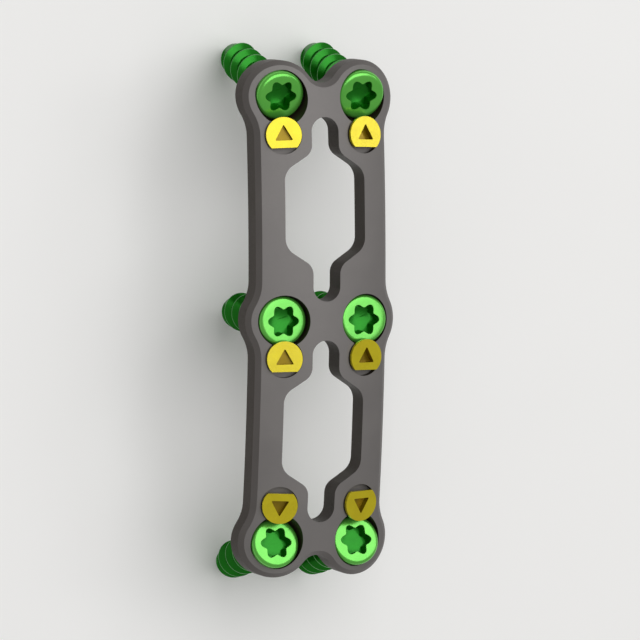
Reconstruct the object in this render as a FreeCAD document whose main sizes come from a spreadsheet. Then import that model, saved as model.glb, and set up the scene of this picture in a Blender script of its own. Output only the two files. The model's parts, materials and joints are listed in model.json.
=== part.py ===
import FreeCAD, Part
import os
import math
import Sketcher

# Two-level anterior cervical plate with six bone screws and six locking cams.
# Millimetres. +Z is the front (anterior) normal at the middle of the plate, +Y points to the head.
# The part stands on the tips of its end screws, with the origin on the floor under its middle.

doc = FreeCAD.newDocument("AnteriorCervicalPlate")

# Driving sizes
driving = {
    # plate
    "rowPitch": 20.0,
    "columnPitch": 7.8,
    "lobeRadius": 3.3,
    "waistWidth": 12.6,
    "waistBlend": 4.0,
    "notchRadius": 1.5,
    "plateThickness": 2.5,
    "frontCurve": 20.0,
    "backCurve": 28.0,
    "lordosisRadius": 167.0,
    "frontBevel": 0.42,
    # the two graft windows
    "windowLength": 16.5,
    "windowWidth": 7.7,
    "windowStraight": 6.9,
    "slotWidth": 2.6,
    "shoulderAngle": 33.0,
    "shoulderRound": 1.3,
    "cornerRound": 1.6,
    # bone screw
    "screwTilt": 15.0,
    "faceDepth": 0.3,
    "screwLength": 14.0,
    "headDiameter": 4.5,
    "headEdge": 0.35,
    "headBand": 0.7,
    "headTaper": 0.9,
    "neckDiameter": 2.5,
    "threadDiameter": 3.5,
    "shankDiameter": 3.0,
    "threadStart": 3.8,
    "threadRunout": 0.45,
    "tipLength": 3.0,
    "tipFacets": 3,
    "driverWidth": 3.0,
    "driverValley": 2.2,
    "driverTip": 0.5,
    "driverDepth": 1.5,
    # screw hole
    "pocketClearance": 0.1,
    "seatClearance": 0.04,
    "throatClearance": 0.1,
    # locking cam
    "camSpacing": 3.35,
    "camDiameter": 3.24,
    "camFlat": 1.05,
    "camRise": 0.3,
    "camUndercut": 0.4,
    "camPocketDepth": 0.55,
    "camPocketClearance": 0.1,
    "camShank": 1.7,
    "camSocket": 0.92,
    "camSocketDepth": 0.45,
    "fitClearance": 0.04,
    # how far a cut runs past the piece
    "cutMargin": 0.5,
}
driverLobes = 6
bow = 0.1  # how far into a window's arc its near point lies, as a share of the radius

sizes = doc.addObject("Spreadsheet::Sheet", "Sizes")
for row, (alias, size) in enumerate(driving.items(), start=1):
    sizes.set("A%d" % row, alias)
    sizes.set("B%d" % row, str(size))
    sizes.setAlias("B%d" % row, alias)
doc.recompute()

# Sizes that follow from the driving ones
derived = doc.addObject("App::VarSet", "Derived")


def derive(name, expression):
    derived.addProperty("App::PropertyFloat", name)
    derived.setExpression(name, expression)
    derived.recompute()


def value(expression):
    number = derived.evalExpression(expression)
    return float(getattr(number, "Value", number))


def surfaceRadius(x):
    return (
        "(Sizes.lordosisRadius - Sizes.frontCurve + sqrt(Sizes.frontCurve^2 - (%s)^2))" % x
    )


def surfaceHeight(x, y):
    return "(sqrt(%s^2 - (%s)^2) - Sizes.lordosisRadius)" % (surfaceRadius(x), y)


derive("column", "Sizes.columnPitch / 2")
derive("row", "Sizes.rowPitch")
derive("endReach", "(Sizes.faceDepth + Sizes.screwLength) * cos(Sizes.screwTilt) - %s"
       % surfaceHeight("Derived.column", "Derived.row"))
derive("middleLow", "Sizes.faceDepth + Sizes.screwLength - %s"
       % surfaceHeight("Derived.column", "0"))
derive("standHeight", "max(Derived.endReach; Derived.middleLow)")

derive("blendX", "Sizes.waistWidth / 2 + Sizes.waistBlend")
derive("blendDrop", "sqrt((Sizes.lobeRadius + Sizes.waistBlend)^2"
       " - (Derived.blendX - Derived.column)^2)")
derive("blendShare", "Sizes.lobeRadius / (Sizes.lobeRadius + Sizes.waistBlend)")
derive("blendTouchX", "Derived.column + (Derived.blendX - Derived.column) * Derived.blendShare")
derive("blendTouchDrop", "Derived.blendDrop * Derived.blendShare")
derive("blendTurn", "asin(Derived.blendDrop / (Sizes.lobeRadius + Sizes.waistBlend))")
derive("blendMiddleX", "Derived.blendX - Sizes.waistBlend * cos(Derived.blendTurn / 2)")
derive("blendMiddleDrop",
       "Derived.blendDrop - Sizes.waistBlend * sin(Derived.blendTurn / 2)")
derive("notchRise", "sqrt((Sizes.lobeRadius + Sizes.notchRadius)^2 - Derived.column^2)")
derive("notchShare", "Sizes.lobeRadius / (Sizes.lobeRadius + Sizes.notchRadius)")
derive("notchTouchX", "Derived.column * (1 - Derived.notchShare)")
derive("notchTouchRise", "Derived.notchRise * Derived.notchShare")
derive("formHalfWidth", "Derived.column + Sizes.lobeRadius + 2 * Sizes.cutMargin")
derive("formHalfLength", "Derived.row + Sizes.lobeRadius + 2 * Sizes.cutMargin")
derive("formDepth", "Sizes.plateThickness + Derived.formHalfWidth^2 / Sizes.backCurve"
       " + Derived.formHalfLength^2 / Sizes.lordosisRadius")

derive("slotHalf", "Sizes.slotWidth / 2")
derive("windowHalf", "Sizes.windowWidth / 2")
derive("windowCorner", "Sizes.windowStraight / 2")
derive("bendTangent", "tan((90 - Sizes.shoulderAngle) / 2)")
derive("cornerTangent", "Sizes.cornerRound * Derived.bendTangent")
derive("shoulderTangent", "Sizes.shoulderRound * Derived.bendTangent")
derive("slotMouth", "Derived.windowCorner"
       " + (Derived.windowHalf - Derived.slotHalf) * tan(Sizes.shoulderAngle)")

derive("headRadius", "Sizes.headDiameter / 2")
derive("threadRadius", "Sizes.threadDiameter / 2")
derive("pocketRadius", "Derived.headRadius + Sizes.pocketClearance")
derive("throatRadius", "Derived.threadRadius + Sizes.throatClearance")
derive("headSlope", "Sizes.headTaper / (Derived.headRadius - Derived.threadRadius)")
derive("bandLevel", "-(Sizes.faceDepth + Sizes.headBand)")
derive("neckRadius", "Sizes.neckDiameter / 2")
derive("shankRadius", "Sizes.shankDiameter / 2")
derive("neckLevel",
       "Derived.bandLevel - Sizes.headTaper - (Derived.threadRadius - Derived.neckRadius)")
derive("threadLevel", "-(Sizes.faceDepth + Sizes.threadStart)")
derive("seatLevel", "Derived.bandLevel - Sizes.seatClearance")


# Sketch whose corners are pairs of expressions, with arcs where a radius is given.
# An arc entry holds the radius and a point that the arc passes near. No radius means a half
# circle from side to side.
def outlineSketch(body, role, name, corners, arcs=None):
    arcs = arcs or {}
    plane = [item for item in body.Origin.OriginFeatures if item.Role == role][0]
    sketch = body.newObject("Sketcher::SketchObject", name)
    sketch.AttachmentSupport = (plane, [""])
    sketch.MapMode = "FlatFace"
    points = [FreeCAD.Vector(value(x), value(y), 0) for x, y in corners]
    count = len(points)
    starts = []
    ends = []
    for index in range(count):
        first = points[index]
        second = points[(index + 1) % count]
        if index in arcs:
            near = FreeCAD.Vector(value(arcs[index][1][0]), value(arcs[index][1][1]), 0)
            centre = Part.Circle(first, near, second).Center
            circle = Part.Circle(centre, FreeCAD.Vector(0, 0, 1), (first - centre).Length)
            forward = (second - first).cross(near - first).z < 0
            low, high = (first, second) if forward else (second, first)
            begin = math.atan2(low.y - centre.y, low.x - centre.x)
            finish = math.atan2(high.y - centre.y, high.x - centre.x)
            if finish <= begin:
                finish += 2 * math.pi
            sketch.addGeometry(Part.ArcOfCircle(circle, begin, finish), False)
            starts.append(1 if forward else 2)
            ends.append(2 if forward else 1)
        else:
            sketch.addGeometry(Part.LineSegment(first, second), False)
            starts.append(1)
            ends.append(2)
    for index in range(count):
        following = (index + 1) % count
        sketch.addConstraint(
            Sketcher.Constraint("Coincident", index, ends[index], following, starts[following]))
    for index, (x, y) in enumerate(corners):
        for kind, text in (("DistanceX", x), ("DistanceY", y)):
            label = "%s%d" % ("across" if kind == "DistanceX" else "along", index)
            number = sketch.addConstraint(
                Sketcher.Constraint(kind, -1, 1, index, starts[index], value(text)))
            sketch.renameConstraint(number, label)
            sketch.setExpression("Constraints." + label, text)
    for index, (radius, near) in arcs.items():
        if radius is None:
            sketch.addConstraint(Sketcher.Constraint("Horizontal", index, 3, index, 1))
            continue
        number = sketch.addConstraint(Sketcher.Constraint("Radius", index, value(radius)))
        sketch.renameConstraint(number, "radius%d" % index)
        sketch.setExpression("Constraints.radius%d" % index, radius)
    doc.recompute()
    return sketch


# A full turn about the sketch's own vertical axis
def revolved(body, kind, name, sketch):
    feature = body.newObject(kind, name)
    feature.Profile = sketch
    feature.ReferenceAxis = (sketch, ["V_Axis"])
    feature.Angle = 360
    doc.recompute()
    return feature


# A cut that points away from its solid shows no error, so the volumes are compared
def cutFeature(body, kind, name, sketch, sizeName, size, bothWays):
    before = body.Tip.Shape.Volume
    feature = body.newObject(kind, name)
    feature.Profile = sketch
    if kind == "PartDesign::Groove":
        feature.ReferenceAxis = (sketch, ["Axis0"])
    feature.Midplane = bothWays
    feature.setExpression(sizeName, size)
    doc.recompute()
    if feature.Shape.Volume >= before:
        raise ValueError(name + " cut nothing")
    return feature


def pocket(body, name, sketch, length, bothWays=False):
    return cutFeature(body, "PartDesign::Pocket", name, sketch, "Length", length, bothWays)


# Outline: six lobes, two waists on each side, a notch at each end
plateBody = doc.addObject("PartDesign::Body", "PlateBody")
reach = "Sizes.lobeRadius"
half = "Derived.column"
corners = []
arcs = {}


def corner(x, y, radius=None, near=None):
    if radius is not None:
        arcs[len(corners)] = (radius, near)
    corners.append((x, y))


def lobeSide(sign, centreY, downward):
    # from the blend on one side of a lobe to the blend on its other side
    touch = "%s * Derived.blendTouchX" % sign
    lead, back = ("-", "+") if downward else ("+", "-")
    corner(touch, "%s %s Derived.blendTouchDrop" % (centreY, back),
           reach, ("%s * (%s + %s)" % (sign, half, reach), centreY))
    corner(touch, "%s %s Derived.blendTouchDrop" % (centreY, lead),
           "Sizes.waistBlend",
           ("%s * Derived.blendMiddleX" % sign,
            "%s %s Derived.blendMiddleDrop" % (centreY, lead)))


def waistEnds(sign, fromY, toY, downward):
    lead, back = ("-", "+") if downward else ("+", "-")
    edge = "%s * Sizes.waistWidth / 2" % sign
    corner(edge, "%s %s Derived.blendDrop" % (fromY, lead))
    corner(edge, "%s %s Derived.blendDrop" % (toY, back), "Sizes.waistBlend",
           ("%s * Derived.blendMiddleX" % sign,
            "%s %s Derived.blendMiddleDrop" % (toY, back)))


def endLobe(sign, centreY, outward, opening):
    # opening lobes start at the notch, closing lobes end there
    notch = ("%s * Derived.notchTouchX" % sign,
             "%s %s Derived.notchTouchRise" % (centreY, outward))
    inward = "-" if outward == "+" else "+"
    blend = ("%s * Derived.blendTouchX" % sign,
             "%s %s Derived.blendTouchDrop" % (centreY, inward))
    outer = ("%s * (%s + %s * cos(45))" % (sign, half, reach),
             "%s %s %s * sin(45)" % (centreY, outward, reach))
    if opening:
        corner(notch[0], notch[1], reach, outer)
        corner(blend[0], blend[1], "Sizes.waistBlend",
               ("%s * Derived.blendMiddleX" % sign,
                "%s %s Derived.blendMiddleDrop" % (centreY, inward)))
    else:
        corner(blend[0], blend[1], reach, outer)
        corner(notch[0], notch[1], "Sizes.notchRadius",
               ("0", "%s %s (Derived.notchRise - Sizes.notchRadius)" % (centreY, outward)))


top = "Derived.row"
bottom = "-Derived.row"
middle = "0"
endLobe("1", top, "+", True)
waistEnds("1", top, middle, True)
lobeSide("1", middle, True)
waistEnds("1", middle, bottom, True)
endLobe("1", bottom, "-", False)
endLobe("-1", bottom, "-", True)
waistEnds("-1", bottom, middle, False)
lobeSide("-1", middle, False)
waistEnds("-1", middle, top, False)
endLobe("-1", top, "+", False)
outline = outlineSketch(plateBody, "XY_Plane", "Outline", corners, arcs)

# Blank: the outline cut through, then both faces turned to the transverse and lordotic arcs
blank = plateBody.newObject("PartDesign::Pad", "Blank")
blank.Profile = outline
blank.Midplane = True
blank.setExpression("Length", "2 * Derived.formDepth")
doc.recompute()


def formFace(name, edgeHeight, radius, crown, farHeight):
    sketch = outlineSketch(
        plateBody, "XZ_Plane", name + "Section",
        [("-Derived.formHalfWidth", edgeHeight),
         ("Derived.formHalfWidth", edgeHeight),
         ("Derived.formHalfWidth", farHeight),
         ("-Derived.formHalfWidth", farHeight)],
        {0: (radius, ("0", crown))})
    level = -value("Sizes.lordosisRadius")
    length = value("Derived.formHalfWidth")
    line = sketch.addGeometry(
        Part.LineSegment(FreeCAD.Vector(0, level, 0), FreeCAD.Vector(length, level, 0)), True)
    sketch.addConstraint(Sketcher.Constraint("Horizontal", line))
    sketch.addConstraint(Sketcher.Constraint("PointOnObject", line, 1, -2))
    number = sketch.addConstraint(Sketcher.Constraint("DistanceX", line, 1, line, 2, length))
    sketch.renameConstraint(number, "axisLength")
    sketch.setExpression("Constraints.axisLength", "Derived.formHalfWidth")
    number = sketch.addConstraint(Sketcher.Constraint("DistanceY", -1, 1, line, 1, level))
    sketch.renameConstraint(number, "lordosis")
    sketch.setExpression("Constraints.lordosis", "-Sizes.lordosisRadius")
    doc.recompute()
    cutFeature(plateBody, "PartDesign::Groove", name, sketch, "Angle", formAngle, True)


formAngle = "2 * asin(Derived.formHalfLength / (Sizes.lordosisRadius - 2 * Derived.formDepth))"
formFace("FrontForm", "sqrt(Sizes.frontCurve^2 - Derived.formHalfWidth^2) - Sizes.frontCurve",
         "Sizes.frontCurve", "0", "2 * Derived.formDepth")
formFace("BackForm", "sqrt(Sizes.backCurve^2 - Derived.formHalfWidth^2) - Sizes.backCurve"
         " - Sizes.plateThickness",
         "Sizes.backCurve", "-Sizes.plateThickness", "-2 * Derived.formDepth")

# Graft window between two rows: a wide middle that steps down to a round-ended slot each way
shoulderX = "Derived.windowHalf - Derived.cornerTangent * cos(Sizes.shoulderAngle)"
shoulderY = "Derived.windowCorner + Derived.cornerTangent * sin(Sizes.shoulderAngle)"
mouthX = "Derived.slotHalf + Derived.shoulderTangent * cos(Sizes.shoulderAngle)"
mouthY = "Derived.slotMouth - Derived.shoulderTangent * sin(Sizes.shoulderAngle)"
quarter = [
    ("Derived.windowHalf", "Derived.windowCorner - Derived.cornerTangent"),
    (shoulderX, shoulderY),
    (mouthX, mouthY),
    ("Derived.slotHalf", "Derived.slotMouth + Derived.shoulderTangent"),
    ("Derived.slotHalf", "Sizes.windowLength / 2 - Derived.slotHalf"),
]
cornerNear = ("Derived.windowHalf - %g * Sizes.cornerRound" % bow, "Derived.windowCorner")
mouthNear = ("Derived.slotHalf + %g * Sizes.shoulderRound" % bow, "Derived.slotMouth")
windowRow = "Derived.row / 2"
windowCorners = []
windowArcs = {}


def windowSide(signX, signY, forward):
    # forward runs from the wide middle to the slot's end, and the last arc closes that end
    order = quarter if forward else quarter[::-1]
    for index, (x, y) in enumerate(order):
        place = len(windowCorners)
        windowCorners.append(("%s * (%s)" % (signX, x), "%s + %s * (%s)" % (windowRow, signY, y)))
        lead = index if forward else index + 1
        bend = {0: ("Sizes.cornerRound", cornerNear), 2: ("Sizes.shoulderRound", mouthNear)}
        if not forward:
            bend = {4: ("Sizes.cornerRound", cornerNear), 2: ("Sizes.shoulderRound", mouthNear)}
        if lead in bend:
            radius, (nearX, nearY) = bend[lead]
            windowArcs[place] = (radius, ("%s * (%s)" % (signX, nearX),
                                          "%s + %s * (%s)" % (windowRow, signY, nearY)))
        if forward and index == 4:
            windowArcs[place] = (None, ("0", "%s + %s * Sizes.windowLength / 2"
                                        % (windowRow, signY)))


windowSide("1", "1", True)
windowSide("-1", "1", False)
windowSide("-1", "-1", True)
windowSide("1", "-1", False)
windowSketch = outlineSketch(plateBody, "XY_Plane", "WindowOutline", windowCorners, windowArcs)
window = pocket(plateBody, "Window", windowSketch, "2 * Derived.formDepth", bothWays=True)
windowPair = plateBody.newObject("PartDesign::Mirrored", "WindowPair")
windowPair.Originals = [window]
windowPair.MirrorPlane = ([item for item in plateBody.Origin.OriginFeatures
                           if item.Role == "XZ_Plane"][0], [""])
plateBody.Tip = windowPair
doc.recompute()

# Outer front edge bevelled all round
curved = [face for face in windowPair.Shape.Faces if face.Surface.TypeId == "Part::GeomToroid"]
front = max(curved, key=lambda face: face.CenterOfMass.z)
rimEdges = []
for index, edge in enumerate(windowPair.Shape.Edges, start=1):
    if any(edge.isSame(other) for other in front.OuterWire.Edges):
        rimEdges.append("Edge%d" % index)
rim = plateBody.newObject("PartDesign::Chamfer", "FrontBevel")
rim.Base = (windowPair, rimEdges)
rim.setExpression("Size", "Sizes.frontBevel")
doc.recompute()

# Bone screw, drawn with the point where its axis meets the plate's front face at the origin.
# The shank is plain, at the middle of the thread's depth.
screwBody = doc.addObject("PartDesign::Body", "ScrewBody")
faceLevel = "-Sizes.faceDepth"
tipLevel = "-(Sizes.faceDepth + Sizes.screwLength)"
blankSketch = outlineSketch(
    screwBody, "XZ_Plane", "ScrewSection",
    [("0", faceLevel),
     ("Derived.headRadius - Sizes.headEdge", faceLevel),
     ("Derived.headRadius", faceLevel + " - Sizes.headEdge"),
     ("Derived.headRadius", "Derived.bandLevel"),
     ("Derived.threadRadius", "Derived.bandLevel - Sizes.headTaper"),
     ("Derived.neckRadius", "Derived.neckLevel"),
     ("Derived.neckRadius", "Derived.threadLevel + Sizes.threadRunout"),
     ("Derived.shankRadius", "Derived.threadLevel"),
     ("Derived.shankRadius", tipLevel),
     ("0", tipLevel)])
revolved(screwBody, "PartDesign::Revolution", "Turned", blankSketch)

# Trocar tip: the same slanting cut taken all round, down to a point on the axis
derive("tipReach", "Derived.shankRadius + Sizes.cutMargin")
tipSketch = outlineSketch(
    screwBody, "XZ_Plane", "TipSection",
    [("0", tipLevel),
     ("Derived.tipReach",
      tipLevel + " + Sizes.tipLength * Derived.tipReach / Derived.shankRadius"),
     ("Derived.tipReach", tipLevel + " - Sizes.cutMargin"),
     ("0", tipLevel + " - Sizes.cutMargin")])
tipCut = pocket(screwBody, "TipFacet", tipSketch, "2 * Derived.tipReach", bothWays=True)
tipRound = screwBody.newObject("PartDesign::PolarPattern", "TipFacets")
tipRound.Originals = [tipCut]
tipRound.Axis = (tipSketch, ["V_Axis"])
tipRound.Angle = 360
tipRound.setExpression("Occurrences", "Sizes.tipFacets")
screwBody.Tip = tipRound
doc.recompute()

# Six-lobed driver socket: a short flat at each tip and a corner at each valley
socketCorners = []
lobeTurn = 360 // driverLobes
for lobe in range(driverLobes):
    turn = "%d" % (lobeTurn * lobe)
    between = "%d" % (lobeTurn * lobe + lobeTurn // 2)
    for side in ("-", "+"):
        socketCorners.append((
            "Sizes.driverWidth / 2 * cos(%s) - %s1 * Sizes.driverTip / 2 * sin(%s)"
            % (turn, side, turn),
            "Sizes.driverWidth / 2 * sin(%s) + %s1 * Sizes.driverTip / 2 * cos(%s)"
            % (turn, side, turn)))
    socketCorners.append(("Sizes.driverValley / 2 * cos(%s)" % between,
                          "Sizes.driverValley / 2 * sin(%s)" % between))
socketSketch = outlineSketch(screwBody, "XY_Plane", "SocketOutline", socketCorners)
socketSketch.setExpression("AttachmentOffset.Base.z", faceLevel)
doc.recompute()
pocket(screwBody, "Socket", socketSketch, "Sizes.driverDepth")

# Locking cam, drawn with the plate's front face at the origin, its flat on the -Y side
derive("camRadius", "Sizes.camDiameter / 2")
derive("normalLean", "asin(Derived.column / Sizes.frontCurve)")
derive("centreGap", "Sizes.plateThickness + Sizes.backCurve - Sizes.frontCurve")
derive("normalThickness", "Sizes.frontCurve + Derived.centreGap * cos(Derived.normalLean)"
       " - sqrt(Sizes.backCurve^2 - (Derived.centreGap * sin(Derived.normalLean))^2)")
camBody = doc.addObject("PartDesign::Body", "CamBody")
camSketch = outlineSketch(
    camBody, "XZ_Plane", "CamSection",
    [("0", "Sizes.camRise"),
     ("Derived.camRadius", "Sizes.camRise"),
     ("Derived.camRadius", "0"),
     ("Sizes.camShank / 2", "-Sizes.camUndercut"),
     ("Sizes.camShank / 2", "-Derived.normalThickness"),
     ("0", "-Derived.normalThickness")])
revolved(camBody, "PartDesign::Revolution", "CamTurned", camSketch)
derive("flatReach", "Derived.camRadius + Sizes.cutMargin")
flatSketch = outlineSketch(
    camBody, "XY_Plane", "FlatOutline",
    [("-Derived.flatReach", "-Sizes.camFlat"),
     ("-Derived.flatReach", "-Derived.flatReach"),
     ("Derived.flatReach", "-Derived.flatReach"),
     ("Derived.flatReach", "-Sizes.camFlat")])
pocket(camBody, "Flat", flatSketch, "2 * (Derived.normalThickness + Sizes.cutMargin)",
       bothWays=True)

# The cam's three-cornered driver socket, one corner pointing away from the flat
triangleCorners = [
    ("Sizes.camSocket * cos(%d)" % turn, "Sizes.camSocket * sin(%d)" % turn)
    for turn in (90, 210, 330)]
triangleSketch = outlineSketch(camBody, "XY_Plane", "TriangleOutline", triangleCorners)
triangleSketch.setExpression("AttachmentOffset.Base.z", "Sizes.camRise")
doc.recompute()
pocket(camBody, "Triangle", triangleSketch, "Sizes.camSocketDepth")

# Cutters for a screw hole and for a cam hole, with their clearances
derive("cutterTop", "Sizes.plateThickness")
derive("cutterBottom", "-2 * Sizes.plateThickness")
seatCutter = doc.addObject("PartDesign::Body", "SeatCutter")
seatSketch = outlineSketch(
    seatCutter, "XZ_Plane", "SeatSection",
    [("0", "Derived.cutterTop"),
     ("Derived.pocketRadius", "Derived.cutterTop"),
     ("Derived.pocketRadius",
      "Derived.seatLevel + (Derived.pocketRadius - Derived.headRadius) * Derived.headSlope"),
     ("Derived.throatRadius",
      "Derived.seatLevel + (Derived.throatRadius - Derived.headRadius) * Derived.headSlope"),
     ("Derived.throatRadius", "Derived.cutterBottom"),
     ("0", "Derived.cutterBottom")])
revolved(seatCutter, "PartDesign::Revolution", "SeatTurned", seatSketch)
camCutter = doc.addObject("PartDesign::Body", "CamCutter")
pitSketch = outlineSketch(
    camCutter, "XZ_Plane", "PitSection",
    [("0", "Derived.cutterTop"),
     ("Derived.camRadius + Sizes.camPocketClearance", "Derived.cutterTop"),
     ("Derived.camRadius + Sizes.camPocketClearance", "-Sizes.camPocketDepth"),
     ("Sizes.camShank / 2 + Sizes.fitClearance", "-Sizes.camPocketDepth"),
     ("Sizes.camShank / 2 + Sizes.fitClearance", "Derived.cutterBottom"),
     ("0", "Derived.cutterBottom")])
revolved(camCutter, "PartDesign::Revolution", "PitTurned", pitSketch)

# Six stations: the upper and lower screws lean away from the middle row
stations = []
for rowName, rowSign, yaw, tilt in (("upper", 1, 0, "Sizes.screwTilt"),
                                    ("middle", 0, 0, "0"),
                                    ("lower", -1, 180, "Sizes.screwTilt")):
    for sideName, sideSign in (("left", -1), ("right", 1)):
        stations.append((rowName + "_" + sideName, rowSign, sideSign, yaw, tilt))


def placed(x, y, turning):
    return "placement(vector(%s; %s; Derived.standHeight + %s); %s)" % (
        x, y, surfaceHeight(x, y), turning)


def screwPlace(rowSign, sideSign, yaw, tilt):
    x = "%d * Derived.column" % sideSign
    y = "%d * Derived.row" % rowSign
    return placed(x, y, "rotationz(%d) * rotationx(%s)" % (yaw, tilt))


def camPlace(rowSign, sideSign, yaw):
    away = "-" if yaw == 0 else "+"
    x = "%d * Derived.column" % sideSign
    y = "(%d * Derived.row %s Sizes.camSpacing)" % (rowSign, away)
    lean = "rotationy(%d * Derived.normalLean)" % sideSign
    slope = "rotationx(-asin(%s / %s))" % (y, surfaceRadius(x))
    return placed(x, y, "%s * %s * rotationz(%d)" % (slope, lean, yaw))


def link(name, body, place):
    copy = doc.addObject("App::Link", name)
    copy.LinkedObject = body
    copy.Label = name
    copy.setExpression("Placement", place)
    return copy


pieces = []
cutters = []
for name, rowSign, sideSign, yaw, tilt in stations:
    screwAt = screwPlace(rowSign, sideSign, yaw, tilt)
    camAt = camPlace(rowSign, sideSign, yaw)
    pieces.append(link("screw_" + name, screwBody, screwAt))
    pieces.append(link("cam_" + name, camBody, camAt))
    cutters.append(link("seat_cut_" + name, seatCutter, screwAt))
    cutters.append(link("cam_cut_" + name, camCutter, camAt))

plateBody.setExpression("Placement", "placement(vector(0; 0; Derived.standHeight); rotationz(0))")
holes = doc.addObject("Part::MultiFuse", "Holes")
holes.Shapes = cutters
doc.recompute()
plate = doc.addObject("Part::Cut", "plate")
plate.Label = "plate"
plate.Base = plateBody
plate.Tool = holes
doc.recompute()
pieces.insert(0, plate)

# Nothing is written unless every object and every piece came out whole
for item in doc.Objects:
    if "Invalid" in item.State or "Error" in item.State:
        raise ValueError("%s failed: %s" % (item.Label, item.State))
os.makedirs("parts", exist_ok=True)
for piece in pieces:
    shape = Part.getShape(piece)
    if shape.isNull() or not shape.isValid() or len(shape.Solids) != 1:
        raise ValueError("%s is not one valid solid" % piece.Label)
    shape.exportStep("parts/%s.step" % piece.Label)
    print("%s: %.3f cubic mm" % (piece.Label, shape.Volume))
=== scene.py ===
import json
import math
import bmesh
import bpy
from mathutils import Matrix, Vector


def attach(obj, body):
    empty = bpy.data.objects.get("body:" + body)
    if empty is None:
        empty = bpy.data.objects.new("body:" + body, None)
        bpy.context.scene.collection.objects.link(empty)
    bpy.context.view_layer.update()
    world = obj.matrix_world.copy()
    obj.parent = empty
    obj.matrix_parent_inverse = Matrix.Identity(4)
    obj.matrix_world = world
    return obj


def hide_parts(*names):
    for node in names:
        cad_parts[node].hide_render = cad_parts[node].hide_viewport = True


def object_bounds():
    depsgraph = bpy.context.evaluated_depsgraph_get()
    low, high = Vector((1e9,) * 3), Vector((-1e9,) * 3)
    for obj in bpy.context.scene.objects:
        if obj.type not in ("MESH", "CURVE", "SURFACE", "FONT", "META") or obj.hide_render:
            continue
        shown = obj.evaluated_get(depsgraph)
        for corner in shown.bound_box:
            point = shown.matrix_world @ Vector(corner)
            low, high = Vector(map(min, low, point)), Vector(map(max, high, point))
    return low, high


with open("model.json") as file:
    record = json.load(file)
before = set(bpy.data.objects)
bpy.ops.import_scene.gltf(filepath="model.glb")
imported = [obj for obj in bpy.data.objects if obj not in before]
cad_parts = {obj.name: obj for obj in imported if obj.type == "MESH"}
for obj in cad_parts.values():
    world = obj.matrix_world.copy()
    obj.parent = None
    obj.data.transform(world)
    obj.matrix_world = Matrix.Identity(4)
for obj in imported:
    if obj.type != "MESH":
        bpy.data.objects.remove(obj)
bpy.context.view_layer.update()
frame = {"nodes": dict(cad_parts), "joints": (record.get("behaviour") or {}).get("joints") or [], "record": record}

mm = 0.001  # every size below is in millimetres
pointRadius = 0.002  # a ring this small is merged to a point
mergeDistance = 0.004


def selectOnly(*pieces):
    # the first one given becomes the active one
    bpy.ops.object.select_all(action="DESELECT")
    for piece in reversed(pieces):
        piece.select_set(True)
        bpy.context.view_layer.objects.active = piece


def pick(piece, test, mode="VERT"):
    # selects what passes the test, in edit mode
    bpy.ops.mesh.select_mode(type=mode)
    bpy.ops.mesh.select_all(action="DESELECT")
    mesh = bmesh.from_edit_mesh(piece.data)
    items = {"VERT": mesh.verts, "EDGE": mesh.edges, "FACE": mesh.faces}[mode]
    for item in items:
        item.select = bool(test(item))
    mesh.select_flush_mode()
    bmesh.update_edit_mesh(piece.data)


def radiusOf(point):
    return math.hypot(point.x, point.y)


def resize(share, alongZ=1):
    bpy.ops.transform.resize(value=(share, share, alongZ), center_override=(0, 0, 0))


def lathe(levels, startRadius, startLevel):
    # carries the selected ring through a list of radius and level pairs
    radius, level = startRadius, startLevel
    for newRadius, newLevel in levels:
        bpy.ops.mesh.extrude_edges_move()
        resize(max(newRadius, pointRadius) / radius)
        bpy.ops.transform.translate(value=(0, 0, (newLevel - level) * mm))
        radius, level = max(newRadius, pointRadius), newLevel


def applyModifier(piece, name, kind, **settings):
    modifier = piece.modifiers.new(name, kind)
    for key, setting in settings.items():
        setattr(modifier, key, setting)
    bpy.ops.object.modifier_apply(modifier=name)


def finishMesh(angle):
    bpy.ops.object.mode_set(mode="EDIT")
    bpy.ops.mesh.select_all(action="SELECT")
    bpy.ops.mesh.remove_doubles(threshold=mergeDistance * mm)
    bpy.ops.mesh.normals_make_consistent(inside=False)
    bpy.ops.object.mode_set(mode="OBJECT")
    bpy.ops.object.shade_smooth_by_angle(angle=math.radians(angle))


# bone screw, drawn with the middle of its face at the origin and its tip straight down
screw = {
    "sides": 96,
    "faceRadius": 1.86,
    "headRadius": 2.25,
    "headEdge": 0.39,
    "headEdgeSteps": 6,
    "headBand": 0.70,
    "bandCornerIn": 0.12,
    "bandCornerDown": 0.14,
    "coneRadius": 1.62,
    "coneLevel": 1.55,
    "neckRadius": 1.36,
    "neckLevel": 1.95,
    "coreLevel": 2.30,
    "coreRadius": 1.25,
    "length": 14.0,
    "tipLength": 3.0,
    "lobes": 6,
    "socketRadius": 1.27,
    "socketRim": 0.30,
    "socketTip": 1.50,
    "socketValley": 1.09,
    "lobeFullness": 0.85,
    "socketLip": 0.971,
    "socketLipDepth": 0.06,
    "socketDraft": 0.985,
    "socketDepth": 1.35,
    "socketFloor": 0.80,
    "socketCone": 0.45,
    "shadeAngle": 40,
    "recessLevel": 0.04,
    "shankLevel": 0.90,
}


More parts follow.
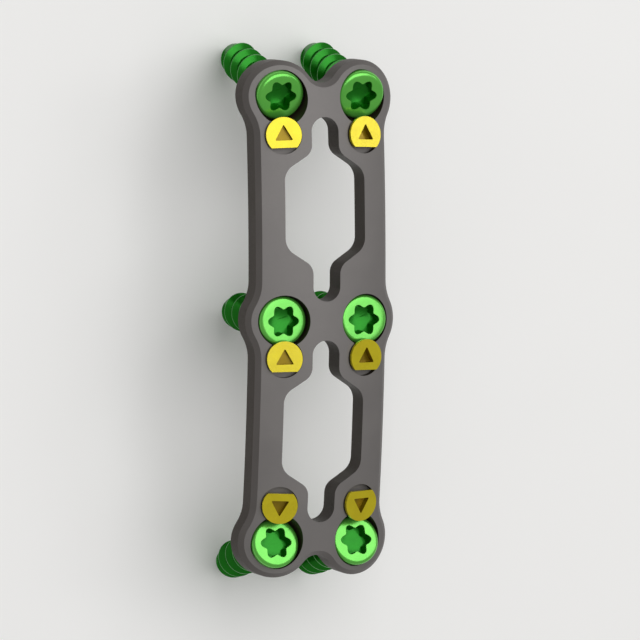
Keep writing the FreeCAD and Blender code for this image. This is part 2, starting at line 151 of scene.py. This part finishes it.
def makeScrewBody():
    size = screw
    selectOnly()
    bpy.ops.mesh.primitive_circle_add(vertices=size["sides"], radius=size["faceRadius"] * mm)
    piece = bpy.context.object
    piece.name = "screwMaster"
    bpy.ops.object.mode_set(mode="EDIT")

    # inward: the face, then the six-lobed socket with a drilled floor
    pick(piece, lambda vert: True)
    lathe([(size["socketRadius"] + size["socketRim"], 0), (size["socketRadius"], 0)],
          size["faceRadius"], 0)
    lobe = 360 / size["lobes"]
    step = 360 / size["sides"]
    innerRing = (size["socketRadius"] + size["socketRim"] / 2) * mm
    for index in range(size["sides"] // size["lobes"] // 2 + 1):
        angle = index * step
        share = 0.5 + 0.5 * math.cos(math.radians(size["lobes"] * angle))
        share = share ** size["lobeFullness"]
        target = size["socketValley"] + (size["socketTip"] - size["socketValley"]) * share

        def onLobe(vert, angle=angle):
            turn = math.degrees(math.atan2(vert.co.y, vert.co.x)) % lobe
            return radiusOf(vert.co) < innerRing and abs(min(turn, lobe - turn) - angle) < step / 2

        pick(piece, onLobe)
        resize(target / size["socketRadius"])
    pick(piece, lambda vert: radiusOf(vert.co) < (size["socketTip"] + mergeDistance) * mm)
    wall = size["socketLip"] * size["socketDraft"]
    lathe([(size["socketLip"], -size["socketLipDepth"]), (wall, -size["socketDepth"])], 1, 0)
    lathe([(size["socketFloor"], -size["socketDepth"])], 1, -size["socketDepth"])
    bpy.ops.transform.tosphere(value=1)
    lathe([(0, -size["socketDepth"] - size["socketCone"])], 1, -size["socketDepth"])

    # outward: rounded rim, head, cone, neck and core, down to the point
    pick(piece, lambda vert: abs(radiusOf(vert.co) - size["faceRadius"] * mm) < mergeDistance * mm
         and abs(vert.co.z) < mergeDistance * mm)
    outline = []
    for index in range(size["headEdgeSteps"]):
        turn = math.radians(90) * (index + 1) / size["headEdgeSteps"]
        outline.append((size["faceRadius"] + size["headEdge"] * math.sin(turn),
                        -size["headEdge"] * (1 - math.cos(turn))))
    tipCore = size["tipLength"] * size["coreRadius"] / screwThread["radius"]
    outline += [
        (size["headRadius"], -size["headBand"]),
        (size["headRadius"] - size["bandCornerIn"], -size["headBand"] - size["bandCornerDown"]),
        (size["coneRadius"], -size["coneLevel"]),
        (size["neckRadius"], -size["neckLevel"]),
        (size["coreRadius"], -size["coreLevel"]),
        (size["coreRadius"], -size["length"] + tipCore),
        (0, -size["length"]),
    ]
    lathe(outline, size["faceRadius"], 0)
    bpy.ops.object.mode_set(mode="OBJECT")
    finishMesh(size["shadeAngle"])
    return piece


# thread: one flank section swept up the core, fading at the head end and along the point
screwThread = {
    "radius": 1.74,
    "pitch": 1.75,
    "top": 3.6,
    "bottom": 12.6,
    "stepsPerTurn": 40,
    "rootWidth": 0.95,
    "crestWidth": 0.14,
    "sink": 0.12,
    "fadeStart": 3.4,
    "fadeLength": 1.3,
    "fadeCurve": 0.7,
    "smallestFade": 0.05,
    "smallestPoint": 0.02,
    "shadeAngle": 30,
}


def threadLimit(radius, level, root):
    # how far out a point of the thread may lie at its level
    size = screwThread
    toPoint = (screw["length"] - level) / screw["tipLength"]
    toPoint = min(max(toPoint, size["smallestPoint"]), 1)
    if radius < root + size["sink"]:
        return root * toPoint
    fade = max((level - size["fadeStart"]) / size["fadeLength"], size["smallestFade"])
    faded = root + (size["radius"] - root) * min(fade, 1) ** size["fadeCurve"]
    return min(size["radius"] * toPoint, faded)


def makeThread():
    size = screwThread
    turns = (size["bottom"] - size["top"]) / size["pitch"]
    steps = int(size["stepsPerTurn"] * turns)
    root = screw["coreRadius"] - size["sink"]
    selectOnly()
    bpy.ops.mesh.primitive_plane_add(size=1 * mm)
    piece = bpy.context.object
    piece.name = "threadMaster"
    bpy.ops.object.mode_set(mode="EDIT")
    bpy.ops.mesh.select_all(action="SELECT")
    bpy.ops.transform.rotate(value=math.radians(90), orient_axis="X", center_override=(0, 0, 0))
    for side, radius, width in ((1, size["radius"], size["crestWidth"]),
                                (-1, root, size["rootWidth"])):
        pick(piece, lambda vert, side=side: vert.co.x * side > 0)
        resize(1, width)
        bpy.ops.transform.translate(value=((radius - 0.5 * side) * mm, 0, 0))
    bpy.ops.mesh.select_all(action="SELECT")
    bpy.ops.mesh.delete(type="ONLY_FACE")
    bpy.ops.mesh.select_all(action="SELECT")
    bpy.ops.transform.translate(value=(0, 0, -size["bottom"] * mm))
    bpy.ops.object.mode_set(mode="OBJECT")
    applyModifier(piece, "sweep", "SCREW", axis="Z", steps=steps, render_steps=steps,
                  angle=math.radians(360) * turns, screw_offset=size["pitch"] * turns * mm,
                  use_merge_vertices=False)

    bpy.ops.object.mode_set(mode="EDIT")
    mesh = bmesh.from_edit_mesh(piece.data)
    drawnIn = []
    for vert in mesh.verts:
        radius = radiusOf(vert.co) / mm
        limit = threadLimit(radius, -vert.co.z / mm, root)
        if limit < radius - pointRadius:
            drawnIn.append((vert.index, limit / radius))
    for index, share in drawnIn:
        pick(piece, lambda vert, index=index: vert.index == index)
        resize(share)
    bpy.ops.object.mode_set(mode="OBJECT")
    finishMesh(size["shadeAngle"])
    return piece


# locking cam, drawn with the plate's face at the origin and its flat on the -Y side
cam = {
    "sides": 96,
    "radius": 1.62,
    "flat": 1.05,
    "rise": 0.30,
    "undercut": 0.38,
    "shankScale": 0.52,
    "shankDepth": 2.2,
    "socketCorners": 3,
    "socketRadius": 0.95,
    "socketRound": 0.13,
    "socketRoundSteps": 5,
    "socketDepth": 0.62,
    "cutterReach": 0.5,
    "edge": 0.07,
    "edgeSteps": 3,
    "shadeAngle": 35,
    "recessLevel": 0.02,
}


def makeCam():
    size = cam
    selectOnly()
    bpy.ops.mesh.primitive_cylinder_add(
        vertices=size["sides"], radius=size["radius"] * mm, depth=size["rise"] * mm,
        location=(0, 0, size["rise"] / 2 * mm))
    piece = bpy.context.object
    piece.name = "camMaster"
    bpy.ops.object.transform_apply(location=True, rotation=True, scale=True)
    bpy.ops.object.mode_set(mode="EDIT")
    bpy.ops.mesh.select_all(action="SELECT")
    bpy.ops.mesh.bisect(plane_co=(0, -size["flat"] * mm, 0), plane_no=(0, -1, 0),
                        use_fill=True, clear_outer=True)
    # underside: a cone that clears the screw head, then the shank
    pick(piece, lambda face: face.normal.z < -0.9, "FACE")
    for share, drop in ((size["shankScale"], size["undercut"]),
                        (1, size["shankDepth"] - size["undercut"])):
        bpy.ops.mesh.extrude_region_move()
        resize(share)
        bpy.ops.transform.translate(value=(0, 0, -drop * mm))
    bpy.ops.object.mode_set(mode="OBJECT")

    # three-cornered socket, cut with a key that has rounded corners
    selectOnly()
    depth = size["socketDepth"] + size["cutterReach"]
    bpy.ops.mesh.primitive_cylinder_add(
        vertices=size["socketCorners"], radius=size["socketRadius"] * mm, depth=depth * mm,
        location=(0, 0, (size["rise"] - size["socketDepth"] + depth / 2) * mm))
    key = bpy.context.object
    bpy.ops.object.transform_apply(location=True, rotation=True, scale=True)
    bpy.ops.object.mode_set(mode="EDIT")
    pick(key, lambda edge: abs(edge.verts[0].co.z - edge.verts[1].co.z) > depth / 2 * mm, "EDGE")
    bpy.ops.mesh.bevel(offset=size["socketRound"] * mm, segments=size["socketRoundSteps"],
                       affect="EDGES")
    bpy.ops.object.mode_set(mode="OBJECT")
    selectOnly(piece)
    applyModifier(piece, "socket", "BOOLEAN", operation="DIFFERENCE", solver="FAST", object=key)
    bpy.data.objects.remove(key)
    applyModifier(piece, "edges", "BEVEL", width=size["edge"] * mm, segments=size["edgeSteps"],
                  limit_method="ANGLE", angle_limit=math.radians(size["shadeAngle"]))
    finishMesh(size["shadeAngle"])
    applyModifier(piece, "evenShading", "WEIGHTED_NORMAL", keep_sharp=True)
    return piece


def placeCopy(master, name, matrix):
    copy = master.copy()
    copy.data = master.data.copy()
    copy.name = name
    copy.data.name = name
    bpy.context.scene.collection.objects.link(copy)
    copy.data.transform(matrix)
    return copy


def axisFrame(origin, zAxis, towards):
    # Z along the axis, Y leaning towards the given direction
    zAxis = Vector(zAxis).normalized()
    yAxis = Vector(towards)
    yAxis = (yAxis - zAxis * yAxis.dot(zAxis)).normalized()
    xAxis = yAxis.cross(zAxis)
    turn = Matrix((xAxis, yAxis, zAxis)).transposed().to_4x4()
    return Matrix.Translation(Vector(origin)) @ turn


# a node's output that can be added to, taken from and multiplied
class Wire:
    def __init__(self, finish, socket):
        self.finish = finish
        self.socket = socket

    def maths(self, operation, first, second):
        return self.finish.node("ShaderNodeMath", "Value", {"operation": operation},
                                {0: first, 1: second})

    def __add__(self, other):
        return self.maths("ADD", self, other)

    def __radd__(self, other):
        return self.maths("ADD", other, self)

    def __sub__(self, other):
        return self.maths("SUBTRACT", self, other)

    def __rsub__(self, other):
        return self.maths("SUBTRACT", other, self)

    def __mul__(self, other):
        return self.maths("MULTIPLY", self, other)

    def __rmul__(self, other):
        return self.maths("MULTIPLY", other, self)


# a material and the one way to add a node to it
class Finish:
    def __init__(self, name):
        self.material = bpy.data.materials.new(name)
        self.material.use_nodes = True
        self.tree = self.material.node_tree
        self.tree.nodes.clear()

    def node(self, kind, output=None, settings=None, inputs=None):
        made = self.tree.nodes.new(kind)
        for key, setting in (settings or {}).items():
            setattr(made, key, setting)
        for key, value in (inputs or {}).items():
            if isinstance(value, Wire):
                self.tree.links.new(value.socket, made.inputs[key])
            else:
                made.inputs[key].default_value = value
        if output is not None:
            return Wire(self, made.outputs[output])

    def noise(self, place, scale, detail=2.0, roughness=0.5):
        return self.node("ShaderNodeTexNoise", "Fac", None,
                         {"Vector": place, "Scale": scale, "Detail": detail,
                          "Roughness": roughness})

    def mix(self, share, first, second):
        return self.node("ShaderNodeMix", 2, {"data_type": "RGBA"},
                         {0: share, 6: first, 7: second})

    def bump(self, height, strength, distance):
        return self.node("ShaderNodeBump", "Normal", None,
                         {"Strength": strength, "Distance": distance * mm, "Height": height})

    def surface(self, inputs):
        shader = self.node("ShaderNodeBsdfPrincipled", "BSDF", None, inputs)
        self.node("ShaderNodeOutputMaterial", None, None, {"Surface": shader})
        return self.material


# plate: blasted and lightly brushed titanium; its cut walls get a painted shade, a darker colour and less specular
# shine
plateLook = {
    "face": (0.138, 0.129, 0.125, 1),
    "faceLight": (0.178, 0.166, 0.160, 1),
    # wall colour and wall specular: painted shade on the cut walls that face sideways
    "wall": (0.028, 0.019, 0.013, 1),
    "wallSpecular": 0.2,
    "faceSpecular": 0.5,
    "wallSlope": 0.25,
    "faceSlope": 0.85,
    "metallic": 0.35,
    "roughness": 0.46,
    "grain": 5200,
    "brush": (9000, 500, 9000),
    "cloud": 260,
    "grainShare": 0.6,
    "grainRoughness": 0.16,
    "cloudRoughness": 0.10,
    "bumpStrength": 0.35,
    "bumpHeight": 0.012,
}


def titaniumFinish():
    look = plateLook
    finish = Finish("titanium")
    place = finish.node("ShaderNodeTexCoord", "Object")
    normal = finish.node("ShaderNodeNewGeometry", "Normal")
    upward = finish.node("ShaderNodeSeparateXYZ", "Z", None, {0: normal})
    along = finish.node("ShaderNodeMapping", "Vector", None,
                        {"Vector": place, "Scale": look["brush"]})
    grain = finish.noise(place, look["grain"], 3.0, 0.6)
    brush = finish.noise(along, 1.0)
    cloud = finish.noise(place, look["cloud"])
    # share of the surface that faces up; the sideways walls get the painted shade
    unshadedShare = finish.node("ShaderNodeMapRange", "Result", {"interpolation_type": "SMOOTHSTEP"},
                            {"Value": upward, "From Min": look["wallSlope"],
                             "From Max": look["faceSlope"]})
    faceColour = finish.mix(cloud, look["face"], look["faceLight"])
    height = grain * look["grainShare"] + brush * (1 - look["grainShare"])
    worn = (grain - 0.5) * look["grainRoughness"] + (cloud - 0.5) * look["cloudRoughness"]
    # the lower shine on the walls is part of the painted shade
    shine = unshadedShare * (look["faceSpecular"] - look["wallSpecular"]) + look["wallSpecular"]
    return finish.surface({
        "Base Color": finish.mix(unshadedShare, look["wall"], faceColour),
        "Metallic": look["metallic"],
        "Roughness": look["roughness"] + worn,
        "Specular IOR Level": shine,
        "Normal": finish.bump(height, look["bumpStrength"], look["bumpHeight"]),
    })


# anodised colours: a clear oxide over bright metal, with a fine grain
# each has a deep shade, a light shade and the weight of its clear coat; the two darker entries for sockets and
# shanks are painted shade
anodised = {
    "green": ((0.10, 0.50, 0.055, 1), (0.16, 0.60, 0.085, 1), 0.35),
    # painted shade: a much darker green with no clear coat, for the screw's socket and its shank
    "greenShaded": ((0.004, 0.17, 0.003, 1), (0.008, 0.25, 0.005, 1), 0.0),
    "yellow": ((0.56, 0.45, 0.004, 1), (0.68, 0.58, 0.008, 1), 0.35),
    # painted shade: a dark olive yellow with no clear coat, for the cam's socket and all below the plate's face
    "yellowShaded": ((0.20, 0.125, 0.003, 1), (0.33, 0.23, 0.004, 1), 0.0),
    "grain": 3800,
    "cloud": 700,
    "metallic": 0.6,
    "roughness": 0.24,
    "grainRoughness": 0.12,
    "coatRoughness": 0.12,
    "bumpStrength": 0.25,
    "bumpHeight": 0.006,
}


def anodisedFinish(name, colour):
    look = anodised
    deep, light, coat = look[colour]
    finish = Finish(name)
    place = finish.node("ShaderNodeTexCoord", "Object")
    grain = finish.noise(place, look["grain"], 3.0)
    cloud = finish.noise(place, look["cloud"])
    return finish.surface({
        "Base Color": finish.mix(cloud, deep, light),
        "Metallic": look["metallic"],
        "Roughness": look["roughness"] + (grain - 0.5) * look["grainRoughness"],
        "Coat Weight": coat,
        "Coat Roughness": look["coatRoughness"],
        "Normal": finish.bump(grain, look["bumpStrength"], look["bumpHeight"]),
    })


def paint(piece, material):
    piece.data.materials.clear()
    piece.data.materials.append(material)


def paintRegion(piece, material, test):
    # gives one region of a piece its own finish
    selectOnly(piece)
    piece.data.materials.append(material)
    piece.active_material_index = len(piece.data.materials) - 1
    bpy.ops.object.mode_set(mode="EDIT")
    pick(piece, test, "FACE")
    bpy.ops.object.material_slot_assign()
    bpy.ops.object.mode_set(mode="OBJECT")


def inScrewPaintedShade(face):
    # faces that get the painted shade: the socket, and all that lies below the head's band
    middle = face.calc_center_median()
    level = -middle.z / mm
    inSocket = radiusOf(middle) < (screw["socketTip"] + mergeDistance) * mm
    return (inSocket and level > screw["recessLevel"]) or level > screw["shankLevel"]


def inCamPaintedShade(face):
    # faces that get the painted shade: the socket, and all that lies below the plate's face
    middle = face.calc_center_median()
    level = middle.z / mm
    inSocket = radiusOf(middle) < cam["socketRadius"] * mm
    return (inSocket and level < cam["rise"] - cam["recessLevel"]) or level < -cam["recessLevel"]


plate = frame["nodes"]["plate"]
paint(plate, titaniumFinish())
print("plate finished")

mounts = {mount["name"]: mount for mount in frame["record"]["mounts"]}
joints = {joint["child"]: joint for joint in frame["joints"]}
stations = [name[len("screw_"):] for name in sorted(frame["nodes"]) if name.startswith("screw_")]

screwMaster = makeScrewBody()
threadMaster = makeThread()
selectOnly(screwMaster, threadMaster)
bpy.ops.object.join()
paint(screwMaster, anodisedFinish("anodisedGreen", "green"))
# the socket and the shank get the painted shade
paintRegion(screwMaster, anodisedFinish("anodisedGreenPaintedShade", "greenShaded"), inScrewPaintedShade)
for station in stations:
    driver = mounts["driver_" + station]
    matrix = axisFrame(driver["pos_m"], driver["axis"], (0, 1, 0))
    piece = placeCopy(screwMaster, "boneScrew_" + station, matrix)
    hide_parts("screw_" + station)
    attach(piece, "plate_and_screws")
bpy.data.objects.remove(screwMaster)
print("screws made")

camMaster = makeCam()
paint(camMaster, anodisedFinish("anodisedYellow", "yellow"))
# the socket and the part below the plate's face get the painted shade
paintRegion(camMaster, anodisedFinish("anodisedYellowPaintedShade", "yellowShaded"), inCamPaintedShade)
for station in stations:
    joint = joints["cam_" + station]
    towards = Vector(mounts["driver_" + station]["pos_m"]) - Vector(joint["pos_m"])
    matrix = axisFrame(joint["pos_m"], joint["axis"], towards)
    piece = placeCopy(camMaster, "lockCam_" + station, matrix)
    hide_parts("cam_" + station)
    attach(piece, "cam_" + station)
bpy.data.objects.remove(camMaster)
print("cams made")

# floor, light and camera, in metres and degrees
studio = {
    "floorSize": 1.6,
    "floor": (0.93, 0.925, 0.915, 1),
    "floorLight": (0.95, 0.945, 0.935, 1),
    "floorCloud": 60,
    "floorRoughness": 0.85,
    "softboxPlace": (0.06, 0.20, 0.62),
    "softboxSize": (0.74, 0.66),
    "softboxPower": 3.0,
    "fillPlace": (0.62, 0.14, 0.60),  # the upper right cam mirrors this one
    "fillSize": (0.22, 0.20),
    "fillPower": 0.34,
    "worldColour": (1, 0.995, 0.985, 1),
    "world": 0.36,
    "aimBelowTop": 0.0018,
    "viewSide": 22.5,
    "viewRise": 5.0,
    "roll": -0.65,
    "distance": 0.55,
    "frameHeight": 0.0575,
    "clipStart": 0.01,
}


def makeFloor():
    selectOnly()
    bpy.ops.mesh.primitive_plane_add(size=studio["floorSize"], location=(0, 0, 0))
    floor = bpy.context.object
    floor.name = "studioFloor"
    finish = Finish("floorPaint")
    place = finish.node("ShaderNodeTexCoord", "Object")
    cloud = finish.noise(place, studio["floorCloud"])
    paint(floor, finish.surface({
        "Base Color": finish.mix(cloud, studio["floor"], studio["floorLight"]),
        "Roughness": studio["floorRoughness"],
    }))


def addLamp(name, place, size, power, target):
    selectOnly()
    bpy.ops.object.light_add(type="AREA", location=place)
    lamp = bpy.context.object
    lamp.name = name
    lamp.data.shape = "RECTANGLE"
    lamp.data.size, lamp.data.size_y = size
    lamp.data.energy = power
    lamp.rotation_euler = (Vector(target) - Vector(place)).to_track_quat("-Z", "Y").to_euler()


def makeWorld():
    world = bpy.data.worlds.new("studioWorld")
    bpy.context.scene.world = world
    world.use_nodes = True
    world.node_tree.nodes["Background"].inputs["Color"].default_value = studio["worldColour"]
    world.node_tree.nodes["Background"].inputs["Strength"].default_value = studio["world"]


def addCamera(target):
    side = math.radians(studio["viewSide"])
    rise = math.radians(studio["viewRise"])
    direction = Vector((-math.sin(side) * math.cos(rise), math.sin(rise),
                        math.cos(side) * math.cos(rise)))
    camera = bpy.data.objects.new("photoCamera", bpy.data.cameras.new("photoCamera"))
    bpy.context.scene.collection.objects.link(camera)
    view = axisFrame(target + direction * studio["distance"], direction, (0, 1, 0))
    camera.matrix_world = view @ Matrix.Rotation(math.radians(-studio["roll"]), 4, "Z")
    camera.data.sensor_fit = "AUTO"
    camera.data.lens = camera.data.sensor_width * studio["distance"] / studio["frameHeight"]
    camera.data.clip_start = studio["clipStart"]
    bpy.context.scene.camera = camera


low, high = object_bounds()
middle = Vector(((low[0] + high[0]) / 2, (low[1] + high[1]) / 2,
                 high[2] - studio["aimBelowTop"]))
makeFloor()
makeWorld()
addLamp("softbox", studio["softboxPlace"], studio["softboxSize"], studio["softboxPower"], middle)
addLamp("fillLamp", studio["fillPlace"], studio["fillSize"], studio["fillPower"], middle)
addCamera(middle)
bpy.context.scene.view_settings.view_transform = "Standard"
print("camera and light set")
